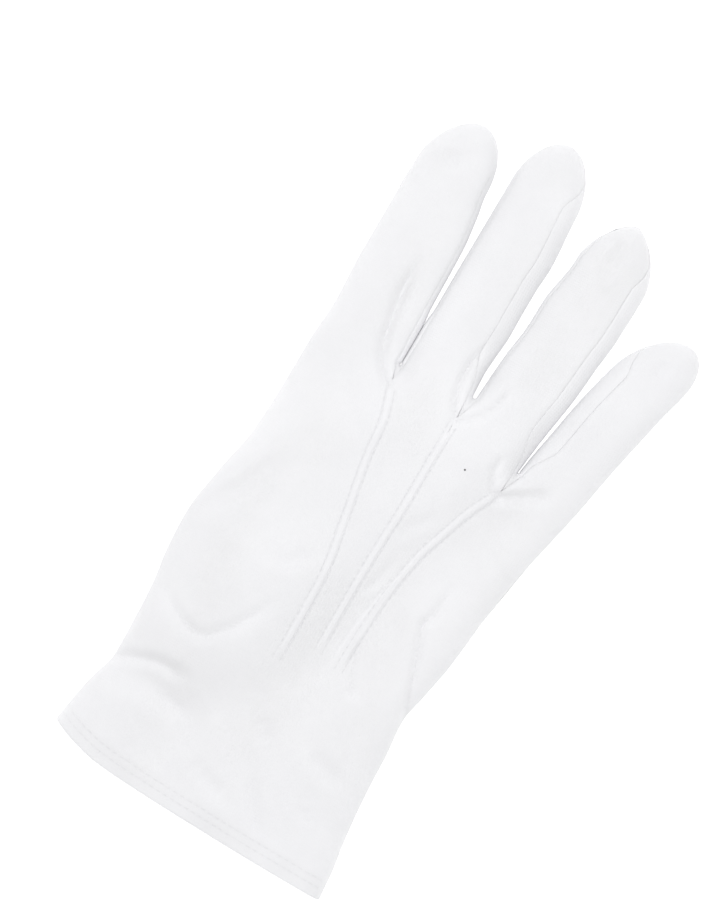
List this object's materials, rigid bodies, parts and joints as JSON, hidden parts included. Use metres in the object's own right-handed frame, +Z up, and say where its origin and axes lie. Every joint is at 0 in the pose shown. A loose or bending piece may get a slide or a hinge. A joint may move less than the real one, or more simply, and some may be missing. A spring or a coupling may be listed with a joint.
{
  "type": "parade glove",
  "caption": "White cotton dress glove for the right hand, lying flat with its back up, with raised points on the back, finger gussets, a folded thumb and a hemmed cuff.",
  "frame": {"origin": "middle of the glove's footprint, on the surface that it lies on", "axes": "+X from the index finger's side to the little finger's side, +Y from the cuff to the fingertips, +Z up out of the back of the hand"},
  "size_m": [0.1258, 0.2556, 0.0181],
  "materials": {
    "cotton": "matte white cotton knit"
  },
  "bodies": {
    "root": {"back_panel": "cotton", "palm_panel": "cotton", "fourchette_index_middle": "cotton", "fourchette_middle_ring": "cotton", "fourchette_ring_little": "cotton", "thumb": "cotton", "cuff_hem": "cotton"}
  },
  "joints": []
}
